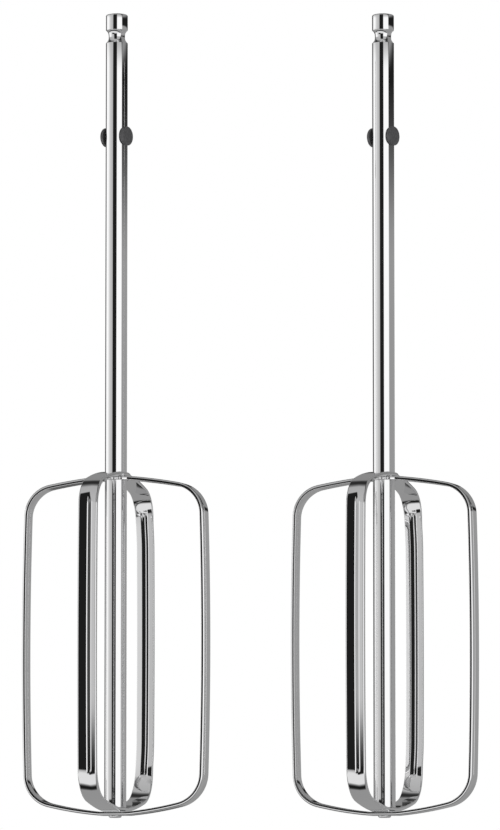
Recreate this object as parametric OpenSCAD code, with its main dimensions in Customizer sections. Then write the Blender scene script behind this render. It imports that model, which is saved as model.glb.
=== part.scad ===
// A pair of mixer beaters, side by side.
// Each one is a round drive shaft with a detent groove and a cross rivet, which carries two
// closed loops of flat strip set a quarter turn apart. The shafts run along Z with their tips up.
// The origin is midway between the shafts, level with the lowest point of the bottom rivets.

/* [Pair] */
// Distance between the two shafts
axis_gap = 61; // [46:0.5:120]
// Turn of the left beater about its own shaft, in degrees, as the pair is laid out
left_turn = -16; // [-45:0.5:45]
// Turn of the right beater about its own shaft, in degrees
right_turn = -19; // [-45:0.5:45]
// Full height of a beater, from the bottom rivet to the tip
overall_h = 184; // [150:1:230]

/* [Shaft] */
// Diameter of the drive shaft
shaft_d = 5; // [4.6:0.1:5.4]
// Length of the tip above the detent groove
tip_h = 3.95; // [3:0.05:6]
// Height of the dome on the tip
dome_h = 0.3; // [0.1:0.05:0.6]
// Radius of the rounded edge between the dome and the side
tip_edge_r = 0.35; // [0.1:0.05:0.6]
// Height of the detent groove at the shaft's surface
groove_h = 2.9; // [2:0.1:4]
// Diameter left at the bottom of the detent groove
waist_d = 3.7; // [3:0.1:4.2]
// Diameter of the tenon that holds the loops at the bottom
tenon_d = 2; // [1.6:0.1:2.2]
// Diameter of the rivet head peened from the tenon
rivet_head_d = 2.95; // [2.6:0.05:3.6]
// Height of that rivet head
rivet_head_h = 0.5; // [0.4:0.05:1]

/* [Drive pin] */
// Distance from the tip down to the pin's axis
pin_drop = 28.5; // [20:0.5:40]
// Turn of the pin from the outer loop's plane, in degrees
pin_turn = -16.5; // [-90:0.5:90]
// Diameter of the pin's shank
pin_d = 2.2; // [1.6:0.1:2.6]
// Diameter of the two round heads
lug_d = 4.4; // [3.6:0.1:4.6]
// Thickness of a head
lug_t = 0.85; // [0.6:0.05:1.2]
// Distance across both heads
lug_span = 6.5; // [6.3:0.1:8]
// Radius of the rounded rim of a head
lug_rim_r = 0.3; // [0.1:0.05:0.4]

/* [Loops] */
// Width across a loop, outside to outside
loop_w = 43.75; // [38:0.25:45]
// Height of a loop, outside to outside
loop_h = 77; // [66:0.25:90]
// Width of the strip
strip_w = 4.45; // [4:0.05:4.8]
// Thickness of the strip
strip_t = 0.9; // [0.7:0.05:1.1]
// Slope of the arch where it leaves the flat hub, in degrees
shoulder_slope = 5; // [2:0.5:8]
// Radius of the shallow arch on each side of the hub at the top of the outer loop
outer_crown_r = 120; // [60:5:200]
// Radius of the same arch on the cross loop, which droops a little more
cross_crown_r = 70; // [60:5:200]
// Radius of the arch at the bottom of both loops
crown_low_r = 85; // [70:5:200]
// Radius of the two upper corners
corner_top_r = 7.5; // [5:0.1:9]
// Radius of the two lower corners
corner_low_r = 7.8; // [5:0.1:9]
// Radius of the slight bow in the two arms
bow_r = 1000; // [500:10:1500]
// Diameter of the eye round the shaft
eye_d = 6.3; // [6.1:0.1:8]

/* [Bead] */
// Width of the bead pressed along each arm
bead_w = 0.6; // [0.4:0.05:1]
// Depth of the bead
bead_depth = 0.18; // [0.1:0.02:0.3]
// Length of the bead
bead_len = 61; // [40:1:64]

/* [Hidden] */
$fn = 96;

shaft_r = shaft_d / 2;
half_w = loop_w / 2;
half_h = loop_h / 2;

// The outer loop lies on the rivet head, and the cross loop lies one strip thickness higher
outer_mid_z = rivet_head_h + half_h;
cross_mid_z = outer_mid_z + strip_t;
seat_z = rivet_head_h + 2 * strip_t;
pin_z = overall_h - pin_drop;

// The detent groove is a round channel: its radius follows from its height and its depth
groove_depth = (shaft_d - waist_d) / 2;
groove_r = (pow(groove_h / 2, 2) + pow(groove_depth, 2)) / (2 * groove_depth);
groove_z = overall_h - tip_h - groove_h / 2;

// The dome's radius, from its height over the flat left inside the rounded edge
dome_base_r = shaft_r - tip_edge_r;
dome_r = (pow(dome_base_r, 2) + pow(dome_h, 2)) / (2 * dome_h);

// One quarter of the loop's outline runs flat over the hub, then slopes off along the crown, the
// corner and the arm, each of them an arc tangent to the next. The corner's centre is where its
// arc touches both others.
hub_flat = eye_d / 2 + 0.1;
bow_centre = [half_w - bow_r, 0];
bead_dir = asin(bead_len / 2 / bow_r);

// Angle of a vector, in degrees
function direction(v) = atan2(v[1], v[0]);

// The upper right point at distance ra from a and rb from b
function meet(a, ra, b, rb) =
    let (
        gap = norm(b - a),
        along = (b - a) / gap,
        across = [along[1], -along[0]],
        reach = (gap * gap + ra * ra - rb * rb) / (2 * gap),
        side = sqrt(ra * ra - reach * reach)
    )
    a + reach * along + side * across;

// Points along an arc, without its first one
function arc(centre, r, from, to, steps) = [
    for (i = [1:steps])
        let (a = from + (to - from) * i / steps)
        centre + r * [cos(a), sin(a)]
];

function but_last(line) = [for (i = [0:len(line) - 2]) line[i]];

// A quarter of the loop at a depth under its outer face, from mid arm up to the hub
function quarter_line(crown_r, corner_r, depth) =
    let (
        shoulder_dir = 90 - shoulder_slope,
        hub_end = [hub_flat, half_h],
        crown_centre = hub_end - crown_r * [cos(shoulder_dir), sin(shoulder_dir)],
        corner_centre = meet(crown_centre, crown_r - corner_r, bow_centre, bow_r - corner_r),
        crown_dir = direction(corner_centre - crown_centre),
        bow_dir = direction(corner_centre - bow_centre)
    )
    concat(
        arc(bow_centre, bow_r - depth, 0, bow_dir, 5),
        arc(corner_centre, corner_r - depth, bow_dir, crown_dir, 14),
        but_last(arc(crown_centre, crown_r - depth, crown_dir, shoulder_dir, 10)),
        [hub_end - depth * [tan(shoulder_slope / 2), 1]]
    );

function reversed(line) = [for (i = [len(line) - 1:-1:0]) line[i]];
function flipped(line, sx, sy) = [for (p = line) [sx * p[0], sy * p[1]]];

// The whole loop at a depth under its outer face
function loop_line(crown_top_r, depth) =
    let (
        upper = quarter_line(crown_top_r, corner_top_r, depth),
        lower = quarter_line(crown_low_r, corner_low_r, depth)
    )
    concat(
        upper,
        reversed(flipped(upper, -1, 1)),
        flipped(lower, -1, -1),
        reversed(flipped(lower, 1, -1))
    );

// Closed loop of strip in its own plane, X across and Y up the shaft
module flat_loop(crown_top_r) {
    linear_extrude(strip_w, center = true)
        difference() {
            polygon(loop_line(crown_top_r, 0));
            polygon(loop_line(crown_top_r, strip_t));
        }
}

// Band of the bead's width that follows the right arm, between two depths under its outer face
module bead_band(depth_out, depth_in) {
    outside = arc(bow_centre, bow_r - depth_out, -bead_dir, bead_dir, 12);
    inside = arc(bow_centre, bow_r - depth_in, -bead_dir, bead_dir, 12);
    linear_extrude(bead_w, center = true)
        polygon(concat(outside, reversed(inside)));
}

// The same thing on both arms
module both_arms() {
    for (x = [0, 1])
        mirror([x, 0, 0])
            children();
}

// Loop standing upright, centred at the given height, with its eye at the top and its rivet
// hole at the bottom. The bead is a groove outside each arm and a rib inside it.
module strip_loop(mid_z, crown_top_r) {
    translate([0, 0, mid_z])
        difference() {
            union() {
                rotate([90, 0, 0]) {
                    flat_loop(crown_top_r);
                    both_arms()
                        bead_band(strip_t / 2, strip_t + bead_depth);
                }
                translate([0, 0, half_h - strip_t])
                    cylinder(d = eye_d, h = strip_t);
            }
            rotate([90, 0, 0])
                both_arms()
                    bead_band(-strip_t, bead_depth);
            translate([0, 0, half_h - 2 * strip_t])
                cylinder(d = shaft_d, h = 3 * strip_t);
            translate([0, 0, -half_h - strip_t])
                cylinder(d = tenon_d, h = 3 * strip_t);
        }
}

// Cross rivet through the shaft, lying along X at its own height
module pin_body() {
    rotate([0, 90, 0]) {
        cylinder(d = pin_d, h = lug_span - 2 * lug_t, center = true);
        for (side = [0, 1])
            mirror([0, 0, side])
                translate([0, 0, lug_span / 2 - lug_t])
                    lug_head();
    }
}

// One thin round head, its rim rounded on the outer side
module lug_head() {
    lug_r = lug_d / 2;
    rotate_extrude() {
        square([lug_r - lug_rim_r, lug_t]);
        square([lug_r, lug_t - lug_rim_r]);
        translate([lug_r - lug_rim_r, lug_t - lug_rim_r])
            intersection() {
                circle(r = lug_rim_r);
                square(lug_rim_r);
            }
    }
}

// Half section of the shaft: radius along X, height along Y
module shaft_section() {
    shoulder_y = overall_h - dome_h - tip_edge_r;
    difference() {
        union() {
            translate([0, seat_z])
                square([shaft_r, shoulder_y - seat_z]);
            square([dome_base_r, overall_h - dome_h]);
            translate([dome_base_r, shoulder_y])
                intersection() {
                    circle(r = tip_edge_r);
                    square(tip_edge_r);
                }
            intersection() {
                translate([0, overall_h - dome_r])
                    circle(r = dome_r);
                translate([0, overall_h - dome_h])
                    square([dome_base_r, dome_h]);
            }
        }
        translate([waist_d / 2 + groove_r, groove_z])
            circle(r = groove_r);
        translate([tenon_d / 2, -1])
            square([shaft_r, seat_z + 1]);
    }
}

// Peened head under the loops, its lower edge rounded
module rivet_section() {
    head_r = rivet_head_d / 2;
    edge_r = rivet_head_h * 0.7;
    translate([0, edge_r])
        square([head_r, rivet_head_h - edge_r]);
    square([head_r - edge_r, rivet_head_h]);
    translate([head_r - edge_r, edge_r])
        intersection() {
            circle(r = edge_r);
            translate([0, -edge_r])
                square(edge_r);
        }
}

module shaft() {
    color("silver")
        difference() {
            union() {
                rotate_extrude()
                    shaft_section();
                rotate_extrude()
                    rivet_section();
            }
            translate([0, 0, pin_z])
                rotate([0, 0, pin_turn])
                    pin_body();
        }
}

module drive_pin() {
    color("dimgray")
        translate([0, 0, pin_z])
            rotate([0, 0, pin_turn])
                pin_body();
}

module outer_loop() {
    color("gainsboro")
        strip_loop(outer_mid_z, outer_crown_r);
}

module cross_loop() {
    color("lightgray")
        rotate([0, 0, 90])
            strip_loop(cross_mid_z, cross_crown_r);
}

// Puts a sub-part in the left (-1) or the right (1) beater
module place(side) {
    translate([side * axis_gap / 2, 0, 0])
        rotate([0, 0, side < 0 ? left_turn : right_turn])
            children();
}

place(-1) shaft();  // left_shaft
place(-1) drive_pin();  // left_drive_pin
place(-1) outer_loop();  // left_outer_loop
place(-1) cross_loop();  // left_cross_loop
place(1) shaft();  // right_shaft
place(1) drive_pin();  // right_drive_pin
place(1) outer_loop();  // right_outer_loop
place(1) cross_loop();  // right_cross_loop
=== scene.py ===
import math

import bmesh
import bpy
import numpy as np
from mathutils import Matrix, Vector


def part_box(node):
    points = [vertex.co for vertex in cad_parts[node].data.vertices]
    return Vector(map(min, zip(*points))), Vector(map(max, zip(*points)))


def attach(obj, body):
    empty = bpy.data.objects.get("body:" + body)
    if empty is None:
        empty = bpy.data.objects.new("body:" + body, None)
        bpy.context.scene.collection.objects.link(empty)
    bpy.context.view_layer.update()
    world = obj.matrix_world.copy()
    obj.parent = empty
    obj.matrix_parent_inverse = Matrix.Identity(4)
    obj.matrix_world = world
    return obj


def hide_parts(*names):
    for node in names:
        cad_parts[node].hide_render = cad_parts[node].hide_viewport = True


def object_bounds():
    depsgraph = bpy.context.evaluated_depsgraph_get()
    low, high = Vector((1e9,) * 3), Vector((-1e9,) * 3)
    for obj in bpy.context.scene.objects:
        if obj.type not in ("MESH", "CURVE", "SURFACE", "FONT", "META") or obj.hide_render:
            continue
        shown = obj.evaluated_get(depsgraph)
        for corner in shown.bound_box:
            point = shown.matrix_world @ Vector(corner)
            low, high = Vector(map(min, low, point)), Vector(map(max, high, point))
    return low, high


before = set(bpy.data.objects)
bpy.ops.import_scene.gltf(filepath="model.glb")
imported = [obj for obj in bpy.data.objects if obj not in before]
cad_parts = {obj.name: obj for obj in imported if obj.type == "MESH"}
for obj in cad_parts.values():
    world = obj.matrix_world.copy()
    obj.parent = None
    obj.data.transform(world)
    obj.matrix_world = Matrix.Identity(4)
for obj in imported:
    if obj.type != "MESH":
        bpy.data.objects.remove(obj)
cad_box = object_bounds()

# ---------------------------------------------------------------- dimensions, in millimetres
MM = 0.001
SIDES = ("left", "right")

SHAFT_R = 2.5
TIP_H = 3.95
DOME_H = 0.3
TIP_EDGE_R = 0.35
GROOVE_H = 2.9
WAIST_R = 1.85
TENON_R = 1.0
RIVET_R = 1.475
RIVET_H = 0.5

PIN_DROP = 28.5
PIN_TURN = math.radians(-16.5)
PIN_R = 1.1
LUG_R = 2.2
LUG_T = 0.85
LUG_SPAN = 6.5
LUG_RIM_R = 0.26

LAYOUT_TURN = {"left": math.radians(-16), "right": math.radians(-19)}
STRIP_W = 4.45
STRIP_T = 0.9
HUB_FLAT = 3.25
# Shoulder slope and the radii of the crown and the corner, at the top and at the bottom. The
# cross loop droops a little more at the top than the outer loop.
OUTER_TOP_SHAPE = (math.radians(5), 120.0, 7.5)
CROSS_TOP_SHAPE = (math.radians(5), 70.0, 6.9)
LOW_SHAPE = (math.radians(5), 85.0, 7.8)
BOW_R = 1000.0
EYE_R = 3.15

# The strip's own section: its outer edges are chamfered, its inner ones only broken, and along
# the arms its two halves lean in to a shallow valley with a narrow bead at the bottom
CHAMFER_DEPTH = 0.4
CHAMFER_WIDTH = 0.29
INNER_EDGE_R = 0.13
VALLEY_SLOPE = math.tan(math.radians(10.5))
VALLEY_ROUND = 0.35
BEAD_W = 1.1
BEAD_FLANK = 0.18
BEAD_DEPTH = 0.13
BEAD_TILT = math.tan(math.radians(1.6))
BEAD_OFFSET = 0.42
# The cross loop's rear arm is a little twisted and leans round the shaft. Its valley is
# shallower, and inside it has a stepped groove in place of a rib: (place across, depth) pairs.
REAR_TWIST = math.radians(13.5)
REAR_LEAN = math.tan(math.radians(2.3))
REAR_VALLEY = 0.6
REAR_GROOVE = (
    (-0.8, 0.0), (-0.43, 0.14), (0.1, 0.28), (0.3, 0.275), (0.43, 0.31), (0.75, 0.355), (0.95, 0.0),
)
BEAD_ENDS = (-30.5, 32.0)
BEAD_FADE = 1.1


# ---------------------------------------------------------------- mesh helpers
def smooth(t):
    """0 below 0, 1 above 1, and an S curve between them."""
    t = np.clip(t, 0.0, 1.0)
    return t * t * (3 - 2 * t)


def mesh_object(name, points, faces, sharp_angle=50):
    """A smooth-shaded mesh object from points in millimetres."""
    mesh = bpy.data.meshes.new(name)
    mesh.from_pydata([tuple(p) for p in np.asarray(points) * MM], [], faces)
    mesh.update()
    bm = bmesh.new()
    bm.from_mesh(mesh)
    bmesh.ops.recalc_face_normals(bm, faces=bm.faces)
    bm.to_mesh(mesh)
    bm.free()
    mesh.polygons.foreach_set("use_smooth", [True] * len(mesh.polygons))
    mesh.set_sharp_from_angle(angle=math.radians(sharp_angle))
    obj = bpy.data.objects.new(name, mesh)
    bpy.context.scene.collection.objects.link(obj)
    return obj


def ring_faces(rings, size, closed):
    """Quads between rings of equal size; closed joins the last ring to the first."""
    faces = []
    for i in range(rings if closed else rings - 1):
        a, b = i * size, (i + 1) % rings * size
        for j in range(size):
            k = (j + 1) % size
            faces.append((a + j, a + k, b + k, b + j))
    return faces


def lathe(name, profile, steps):
    """Turns (radius, height) pairs about Z. Each end of the profile closes at a point."""
    turn = np.linspace(0, 2 * math.pi, steps, endpoint=False)
    inner = profile[1:-1]
    points = [(r * math.cos(a), r * math.sin(a), z) for r, z in inner for a in turn]
    faces = ring_faces(len(inner), steps, False)
    last = (len(inner) - 1) * steps
    for end, start in ((0, 0), (-1, last)):
        points.append((0, 0, profile[end][1]))
        pole = len(points) - 1
        faces += [(start + j, start + (j + 1) % steps, pole) for j in range(steps)]
    return mesh_object(name, points, faces)


def arc(centre, radius, start, end, steps):
    """Points from start to end, in degrees, about a centre. Radius may be a pair for an ellipse."""
    rx, ry = radius if isinstance(radius, tuple) else (radius, radius)
    turn = np.radians(np.linspace(start, end, steps + 1))
    return [(centre[0] + rx * math.cos(a), centre[1] + ry * math.sin(a)) for a in turn]


def bezier(a, b, c, d, steps):
    """Points along a cubic curve, without its first one."""
    out = []
    for t in np.linspace(0, 1, steps + 1)[1:]:
        u = 1 - t
        out.append(
            tuple(
                u**3 * a[i] + 3 * u * u * t * b[i] + 3 * u * t * t * c[i] + t**3 * d[i]
                for i in (0, 1)
            )
        )
    return out


# ---------------------------------------------------------------- strip loops
def meet(a, ra, b, rb):
    """The upper right point at distance ra from a and rb from b."""
    a, b = np.array(a), np.array(b)
    gap = np.linalg.norm(b - a)
    along = (b - a) / gap
    across = np.array([along[1], -along[0]])
    reach = (gap * gap + ra * ra - rb * rb) / (2 * gap)
    return a + reach * along + math.sqrt(ra * ra - reach * reach) * across


def quarter_outline(half_w, half_h, slope, crown_r, corner_r):
    """Points and outward normals of a loop's outer face, from mid arm up to the hub's middle."""
    shoulder = math.pi / 2 - slope
    crown = np.array([HUB_FLAT, half_h]) - crown_r * np.array([math.cos(shoulder), math.sin(shoulder)])
    bow = np.array([half_w - BOW_R, 0.0])
    corner = meet(crown, crown_r - corner_r, bow, BOW_R - corner_r)
    crown_dir = math.atan2(*(corner - crown)[::-1])
    bow_dir = math.atan2(*(corner - bow)[::-1])
    rows = []
    for centre, radius, start, end, steps in (
        (bow, BOW_R, 0.0, bow_dir, 66),
        (corner, corner_r, bow_dir, crown_dir, 30),
        (crown, crown_r, crown_dir, shoulder, 44),
    ):
        for a in np.linspace(start, end, steps + 1)[:-1]:
            n = np.array([math.cos(a), math.sin(a)])
            rows.append((*(centre + radius * n), *n))
    rows.append((HUB_FLAT, half_h, math.sin(slope / 2), math.cos(slope / 2)))
    for x in np.linspace(HUB_FLAT, 0, 12)[1:]:
        rows.append((x, half_h, 0.0, 1.0))
    return np.array(rows)


def whole_outline(half_w, half_h, top_shape):
    """The closed outline, from the right arm's middle and round by the top."""
    top = quarter_outline(half_w, half_h, *top_shape)
    low = quarter_outline(half_w, half_h, *LOW_SHAPE)
    left_top = top[-2::-1] * [-1, 1, -1, 1]
    left_low = low[1:] * [-1, -1, -1, -1]
    right_low = low[-2:0:-1] * [1, -1, 1, -1]
    return np.vstack([top, left_top, left_low, right_low])


def edge_profile():
    """(distance in from the edge, depth) pairs down one edge, from the outer to the inner face."""
    chamfer = arc(
        (CHAMFER_WIDTH * 1.9, CHAMFER_DEPTH * 1.9),
        (CHAMFER_WIDTH * 1.9, CHAMFER_DEPTH * 1.9),
        248,
        202,
        6,
    )
    low = min(p[1] for p in chamfer)
    near = min(p[0] for p in chamfer)
    chamfer = [(p[0] - near, p[1] - low) for p in chamfer]
    return (
        [(chamfer[0][0] + 0.05, 0.0)]
        + [(x + 0.0, y + 0.012) for x, y in chamfer]
        + [(0.0, chamfer[-1][1] + 0.06), (0.0, STRIP_T - INNER_EDGE_R - 0.05)]
        + arc((INNER_EDGE_R, STRIP_T - INNER_EDGE_R), INNER_EDGE_R, 180, 90, 5)
        + [(INNER_EDGE_R + 0.06, STRIP_T)]
    )


def face_stations():
    """Places across a face as shares of its half width, closer together at the bead."""
    fine = np.linspace(-0.42, 0.42, 31)
    coarse = np.linspace(0.5, 1.0, 7)
    return np.concatenate([-coarse[::-1], fine, coarse])


def half_width_at(x, z, half_h):
    """Half the strip's width: wider round the eye, where the shaft passes through."""
    plain = STRIP_W / 2
    near_top = z > half_h - 3
    eye = np.sqrt(np.clip(EYE_R**2 - x**2, 0, None))
    fillet = plain + 0.62 * smooth((4.3 - np.abs(x)) / 2.3) ** 2
    return np.where(near_top, np.maximum.reduce([np.full_like(x, plain), eye, fillet]), plain)


def strip_loop(name, half_w, half_h, mid_z, turned):
    """A closed loop of strip. turned puts its plane across Y instead of X."""
    outline = whole_outline(half_w, half_h, CROSS_TOP_SHAPE if turned else OUTER_TOP_SHAPE)
    x, z, nx, nz = outline.T
    half = half_width_at(x, z, half_h)
    valley = 1 - smooth(np.abs(nz) / 0.95)
    rear = smooth((x - 5) / 5) if turned else 0 * x
    valley_slope = VALLEY_SLOPE * valley * (1 + (REAR_VALLEY - 1) * rear)
    twist = REAR_TWIST * rear * (1 - smooth((np.abs(z) - 27) / 9))
    lean = REAR_LEAN * x * rear * (1 - 0.55 * smooth((np.abs(z) - 22) / 14))
    bead = smooth((z - BEAD_ENDS[0]) / BEAD_FADE) * smooth((BEAD_ENDS[1] - z) / BEAD_FADE)
    offset = BEAD_OFFSET * (1 - rear)
    edge = edge_profile()
    across = face_stations()
    section = []
    for side in (1, -1):
        rows = edge if side > 0 else edge[::-1]
        section += [("edge", side, inset, depth) for inset, depth in rows]
        shares = across[1:-1]
        shares = shares[::-1] if side > 0 else shares
        section += [("inner" if side > 0 else "outer", s, 0, 0) for s in shares]
    flat_inner = edge[-1][0]
    flat_outer = edge[0][0]
    points = np.zeros((len(x), len(section), 3))
    for j, (kind, a, inset, depth) in enumerate(section):
        if kind == "edge":
            w = a * (half - inset)
            d = np.full_like(w, depth)
            pressed = np.zeros_like(w)
        else:
            w = a * (half - (flat_inner if kind == "inner" else flat_outer))
            d = np.full_like(w, STRIP_T if kind == "inner" else 0.0)
            pressed = smooth((BEAD_W / 2 - np.abs(w + offset)) / BEAD_FLANK)
            pressed = pressed * (BEAD_DEPTH + BEAD_TILT * (w + offset))
            if kind == "inner":
                groove = -np.interp(-w, *zip(*REAR_GROOVE))
                pressed = pressed + rear * (groove - pressed)
        reach = np.maximum(np.abs(w + offset), bead * (BEAD_W - BEAD_FLANK) / 2)
        rise = np.sqrt(half**2 + VALLEY_ROUND**2) - np.sqrt(reach**2 + VALLEY_ROUND**2)
        d = d + valley_slope * rise + bead * pressed
        # A twist turns the section about its middle, and keeps its far corner inside the box
        drop = d - STRIP_T / 2
        d = STRIP_T / 2 + drop * np.cos(twist) - w * np.sin(twist) + STRIP_W / 2 * np.sin(twist)
        w = w * np.cos(twist) + drop * np.sin(twist) - lean
        px, pz = x - nx * d, z - nz * d
        points[:, j] = np.stack([px, w, pz + mid_z], axis=1)
    if turned:
        points = np.stack([-points[..., 1], points[..., 0], points[..., 2]], axis=-1)
    faces = ring_faces(len(x), len(section), True)
    return mesh_object(name, points.reshape(-1, 3), faces, 60)


def cut_cylinder(obj, radius, low, high):
    """Bores a round hole along the shaft's axis, between two heights."""
    tool = lathe("tool", [(0, low), (radius, low), (radius, high), (0, high)], 128)
    cut = obj.modifiers.new("bore", "BOOLEAN")
    cut.operation, cut.solver, cut.object = "DIFFERENCE", "EXACT", tool
    graph = bpy.context.evaluated_depsgraph_get()
    bored = bpy.data.meshes.new_from_object(obj.evaluated_get(graph))
    obj.modifiers.clear()
    old, obj.data = obj.data, bored
    bpy.data.meshes.remove(old)
    tool_mesh = tool.data
    bpy.data.objects.remove(tool)
    bpy.data.meshes.remove(tool_mesh)
    obj.data.name = obj.name
    return obj


# ---------------------------------------------------------------- shaft, rivet and drive pin
def shaft_profile(top, seat, low):
    """(radius, height) from the rivet's lowest point to the crown of the tip."""
    edge = 0.42
    profile = [(0, low)]
    profile += [(0.5, low + 0.012)]
    profile += arc((RIVET_R - edge, low + edge + 0.03), (edge, edge), 270, 360, 8)
    profile += [(RIVET_R, low + RIVET_H - 0.03), (RIVET_R - 0.05, low + RIVET_H)]
    profile += [(TENON_R, low + RIVET_H), (TENON_R, seat)]
    profile += [(SHAFT_R - 0.12, seat)] + arc((SHAFT_R - 0.12, seat + 0.12), 0.12, 270, 360, 4)
    groove_low = top - TIP_H - GROOVE_H
    groove_high = top - TIP_H
    groove_mid = groove_low + GROOVE_H * 0.5
    profile += [(SHAFT_R, seat + 2 + 6 * i) for i in range(int((groove_low - seat - 2) / 6))]
    profile += arc((SHAFT_R - 0.1, groove_low - 0.1), 0.1, 0, 38, 4)
    start = profile[-1]
    profile += bezier(
        start, (2.0, groove_low + 0.5), (WAIST_R, groove_mid - 0.75), (WAIST_R, groove_mid), 14
    )
    lip = (SHAFT_R - 0.11, groove_high - 0.04)
    profile += bezier(
        (WAIST_R, groove_mid), (WAIST_R, groove_mid + 0.7), (WAIST_R + 0.13, groove_high - 0.42), lip, 14
    )
    profile += arc((SHAFT_R - 0.07, groove_high + 0.05), 0.07, 300, 360, 3)
    profile += [(SHAFT_R, groove_high + 1.2), (SHAFT_R, groove_high + 2.4)]
    base = SHAFT_R - TIP_EDGE_R
    dome_r = (base**2 + DOME_H**2) / (2 * DOME_H)
    dome_edge = math.degrees(math.acos(base / dome_r))
    profile += arc((base, top - DOME_H - TIP_EDGE_R), TIP_EDGE_R, 0, dome_edge, 8)
    # The dome starts where the rounded edge has turned to the dome's own slope
    start_r = profile[-1][0]
    rim_z = profile[-1][1]
    for share in np.linspace(1, 0, 10)[1:]:
        r = start_r * share
        profile.append((r, rim_z + (top - rim_z) * (1 - share**2)))
    return profile


def drive_pin(name, z):
    """The cross rivet: a shank with two thin upset heads, lying along X at height z."""
    half = LUG_SPAN / 2
    inner = half - LUG_T
    crown = 0.1
    side = (
        [(PIN_R, inner), (LUG_R - 0.1, inner)]
        + arc((LUG_R - 0.1, inner + 0.1), 0.1, 270, 360, 4)
        + arc((LUG_R - LUG_RIM_R, half - crown - LUG_RIM_R), LUG_RIM_R, 0, 82, 7)
    )
    rim_r, rim_z = side[-1]
    side += [(rim_r * s, rim_z + (half - rim_z) * (1 - s * s)) for s in (0.8, 0.6, 0.4, 0.2, 0)]
    profile = [(r, -h) for r, h in side[::-1]] + [(PIN_R, 0)] + side
    pin = lathe(name, profile, 96)
    turn = Matrix.Rotation(PIN_TURN, 4, "Z") @ Matrix.Rotation(math.pi / 2, 4, "Y")
    pin.data.transform(Matrix.Translation((0, 0, z * MM)) @ turn)
    return pin


# ---------------------------------------------------------------- materials
def node_material(name):
    material = bpy.data.materials.new(name)
    material.use_nodes = True
    nodes = material.node_tree.nodes
    return material, nodes, material.node_tree.links, nodes["Principled BSDF"]


def steel(name, tint, roughness, spread, grain_scale, contrast):
    """Bare metal: a fine grain in its colour, and faint clouding in its roughness."""
    material, nodes, links, shader = node_material(name)
    shader.inputs["Metallic"].default_value = 1.0
    place = nodes.new("ShaderNodeTexCoord")
    stretch = nodes.new("ShaderNodeMapping")
    stretch.inputs["Scale"].default_value = grain_scale
    grain = nodes.new("ShaderNodeTexNoise")
    grain.inputs["Scale"].default_value = 1.0
    grain.inputs["Detail"].default_value = 3.0
    cloud = nodes.new("ShaderNodeTexNoise")
    cloud.inputs["Scale"].default_value = 90.0
    cloud.inputs["Detail"].default_value = 4.0
    links.new(place.outputs["Object"], stretch.inputs["Vector"])
    links.new(stretch.outputs["Vector"], grain.inputs["Vector"])
    links.new(place.outputs["Object"], cloud.inputs["Vector"])
    rough = nodes.new("ShaderNodeMapRange")
    rough.inputs["From Min"].default_value = 0.3
    rough.inputs["From Max"].default_value = 0.75
    rough.inputs["To Min"].default_value = roughness
    rough.inputs["To Max"].default_value = roughness + spread
    links.new(cloud.outputs["Fac"], rough.inputs["Value"])
    links.new(rough.outputs["Result"], shader.inputs["Roughness"])
    shade = nodes.new("ShaderNodeMix")
    shade.data_type = "RGBA"
    shade.inputs["A"].default_value = (*[c * (1 - contrast) for c in tint], 1)
    shade.inputs["B"].default_value = (*tint, 1)
    links.new(grain.outputs["Fac"], shade.inputs["Factor"])
    links.new(shade.outputs["Result"], shader.inputs["Base Color"])
    return material, nodes, links, shader, grain


def chrome():
    return steel("polished_chrome", (0.93, 0.93, 0.935), 0.03, 0.008, (2600, 2600, 160), 0.03)[0]


def pin_steel():
    """Upset pin heads: plain steel with a dull, scratched face."""
    material, nodes, links, shader, grain = steel(
        "pin_steel", (0.17, 0.17, 0.175), 0.4, 0.2, (1700, 1700, 1700), 0.6
    )
    shader.inputs["Metallic"].default_value = 0.6
    bump = nodes.new("ShaderNodeBump")
    bump.inputs["Strength"].default_value = 0.6
    bump.inputs["Distance"].default_value = 0.00006
    links.new(grain.outputs["Fac"], bump.inputs["Height"])
    links.new(bump.outputs["Normal"], shader.inputs["Normal"])
    return material


# ---------------------------------------------------------------- the two beaters
def place_piece(obj, side, material, node):
    """Puts a piece made about the shaft's axis where the frame has it."""
    low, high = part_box(f"{side}_shaft")
    centre = (low + high) / 2
    obj.data.transform(
        Matrix.Translation((centre.x, centre.y, 0)) @ Matrix.Rotation(LAYOUT_TURN[side], 4, "Z")
    )
    obj.data.materials.clear()
    obj.data.materials.append(material)
    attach(obj, f"{side}_beater")
    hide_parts(node)


def loop_size(side):
    """Half width and half height of a loop, from the two boxes of a beater's outer loop."""
    low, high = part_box(f"{side}_outer_loop")
    half_h = (high.z - low.z) / 2 / MM
    wide = (high.x - low.x) / 2 / MM
    turn = LAYOUT_TURN[side]
    return (wide - STRIP_W / 2 * abs(math.sin(turn))) / math.cos(turn), half_h


def beater(side, polished, dull):
    half_w, half_h = loop_size(side)
    low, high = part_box(f"{side}_shaft")
    top, bottom = high.z / MM, low.z / MM
    seat = bottom + RIVET_H + 2 * STRIP_T
    shaft = lathe(f"{side}_drive_shaft", shaft_profile(top, seat, bottom), 160)
    place_piece(shaft, side, polished, f"{side}_shaft")
    pin = drive_pin(f"{side}_cross_pin", top - PIN_DROP)
    place_piece(pin, side, dull, f"{side}_drive_pin")
    for name, turned in (("outer_loop", False), ("cross_loop", True)):
        low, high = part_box(f"{side}_{name}")
        mid_z = (low.z + high.z) / 2 / MM
        loop = strip_loop(f"{side}_{name}_strip", half_w, half_h, mid_z, turned)
        cut_cylinder(loop, SHAFT_R + 0.02, mid_z + half_h - 4, mid_z + half_h + 4)
        cut_cylinder(loop, TENON_R + 0.02, mid_z - half_h - 4, mid_z - half_h + 4)
        place_piece(loop, side, polished, f"{side}_{name}")


# ---------------------------------------------------------------- studio
def grey(value):
    """Linear brightness of a display grey from 0 to 255."""
    v = value / 255
    return v / 12.92 if v <= 0.04045 else ((v + 0.055) / 1.055) ** 2.4


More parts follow.
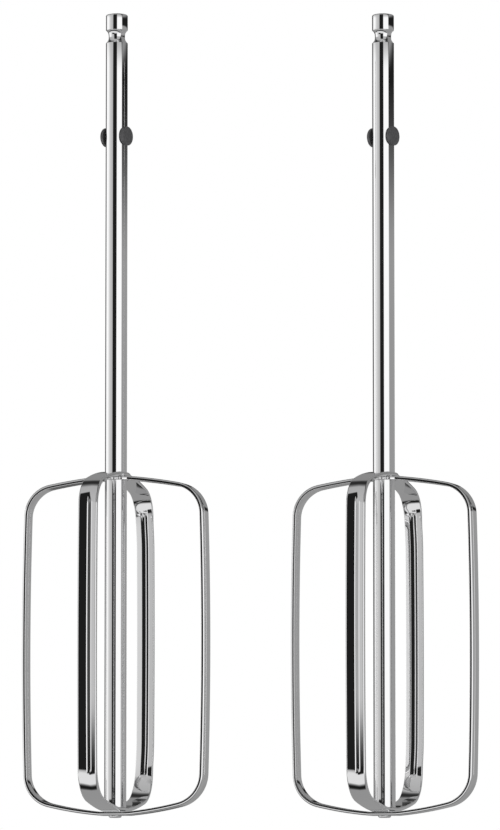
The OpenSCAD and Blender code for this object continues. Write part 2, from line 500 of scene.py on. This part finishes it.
def band(value, low, high, soft):
    """1 between low and high, 0 outside, with soft edges."""
    return smooth((value - low) / soft + 0.5) * smooth((high - value) / soft + 0.5)


def stepped(value, stops):
    """Brightness between (angle, display grey) stops."""
    return np.interp(value, [stop[0] for stop in stops], [stop[1] for stop in stops])


# Dark patches: lowest and highest azimuth, lowest and highest elevation, in degrees
FLAGS = ((-38, 2, -8, 50), (-66, -36, -18, -2), (58, 180, 9, 13))
FLAG_GREY = 30
FLAG_SOFT = (4, 3)  # width of a patch's edges across and up, in degrees
RING_EDGE, RING_SOFT = 12, 4  # where the ring gives way to the cloth, in degrees of elevation
CLOTH_TURN = 35  # degrees from the front to the plane that the cloth's stops are counted in


def studio_light(azimuth, elevation):
    """Brightness of the light tent in a direction, as display greys.

    Azimuth 0 is in front of the object, and positive to its right. This is not plain light:
    the stops and the dark patches were tuned until the reflections in the metal lined up with
    the photograph's. The shafts and the arms reflect the ring, and the loops' bends reflect the
    cloth over and under it.
    """
    a, e = np.radians(azimuth + CLOTH_TURN), np.radians(elevation)
    over = np.degrees(np.arctan2(np.sin(e), np.cos(e) * np.cos(a)))
    ring = stepped(azimuth, (
        (-180, 95), (-130, 95), (-125, 260), (-95, 260), (-70, 210), (-40, 185), (0, 185), (5, 260),
        (56, 260), (62, 155), (175, 155), (180, 95),
    ))
    cloth = stepped(over, (
        (-74, 150), (-67, 25), (-60, 25), (-50, 230), (-20, 230), (0, 190), (75, 175), (93, 45),
        (105, 45), (120, 140),
    ))
    light = ring + smooth((np.abs(elevation) - RING_EDGE) / RING_SOFT) * (cloth - ring)
    for left, right, low, high in FLAGS:
        shade = band(azimuth, left, right, FLAG_SOFT[0]) * band(elevation, low, high, FLAG_SOFT[1])
        light = light + shade * (FLAG_GREY - light)
    return light


def tent(centre, radius):
    """A round light tent about the object. Only reflections see it."""
    azimuths = np.arange(-180, 180, 1.0)
    elevations = np.concatenate(
        [np.arange(-89, -8, 3.0), np.arange(-8, 16, 0.5), np.arange(16, 90, 3.0)]
    )
    points, faces, shades = [], [], []
    for e in elevations:
        for a in azimuths:
            ra, re = math.radians(a), math.radians(e)
            out = (math.sin(ra) * math.cos(re), -math.cos(ra) * math.cos(re), math.sin(re))
            points.append([c + radius * o for c, o in zip(centre, out)])
            shades.append(grey(float(studio_light(a, e))))
    mesh = bpy.data.meshes.new("light_tent")
    mesh.from_pydata(points, [], ring_faces(len(elevations), len(azimuths), False))
    shade = mesh.attributes.new("shade", "FLOAT", "POINT")
    shade.data.foreach_set("value", shades)
    tent_obj = bpy.data.objects.new("light_tent", mesh)
    bpy.context.scene.collection.objects.link(tent_obj)
    material = bpy.data.materials.new("tent_cloth")
    material.use_nodes = True
    nodes, links = material.node_tree.nodes, material.node_tree.links
    nodes.clear()
    out = nodes.new("ShaderNodeOutputMaterial")
    glow = nodes.new("ShaderNodeEmission")
    read = nodes.new("ShaderNodeAttribute")
    read.attribute_name = "shade"
    links.new(read.outputs["Fac"], glow.inputs["Strength"])
    links.new(glow.outputs["Emission"], out.inputs["Surface"])
    mesh.materials.append(material)
    tent_obj.visible_camera = False
    tent_obj.visible_diffuse = False
    tent_obj.visible_shadow = False
    return tent_obj


def floor(z):
    size = 30.0
    mesh = bpy.data.meshes.new("floor")
    mesh.from_pydata(
        [(-size, -size, z), (size, -size, z), (size, size, z), (-size, size, z)], [], [(0, 1, 2, 3)]
    )
    obj = bpy.data.objects.new("floor", mesh)
    bpy.context.scene.collection.objects.link(obj)
    material, nodes, links, shader = node_material("pale_floor")
    shader.inputs["Base Color"].default_value = (0.9, 0.9, 0.9, 1)
    shader.inputs["Roughness"].default_value = 0.9
    mesh.materials.append(material)


def white_world():
    world = bpy.data.worlds.new("white")
    bpy.context.scene.world = world
    world.use_nodes = True
    world.node_tree.nodes["Background"].inputs["Color"].default_value = (1, 1, 1, 1)
    world.node_tree.nodes["Background"].inputs["Strength"].default_value = 1.0


def camera(centre, elevation, distance, frame_height):
    data = bpy.data.cameras.new("camera")
    data.sensor_width = 36
    data.lens = 36 * distance / frame_height
    data.clip_start, data.clip_end = 0.1, 100
    data.dof.use_dof = False
    obj = bpy.data.objects.new("camera", data)
    bpy.context.scene.collection.objects.link(obj)
    e = math.radians(elevation)
    back = Vector((0, -math.cos(e), math.sin(e)))
    obj.location = centre + back * distance
    obj.rotation_mode = "QUATERNION"
    obj.rotation_quaternion = (-back).to_track_quat("-Z", "Y")
    bpy.context.scene.camera = obj


polished_chrome = chrome()
dull_steel = pin_steel()
for side in SIDES:
    beater(side, polished_chrome, dull_steel)

middle = (cad_box[0] + cad_box[1]) / 2
white_world()
tent(middle, 2.5)
floor(-2.6)
camera(Vector((0.00002, 0, 0.0916)), -5.2, 1.3, 0.1891)
bpy.context.scene.view_settings.view_transform = "Standard"
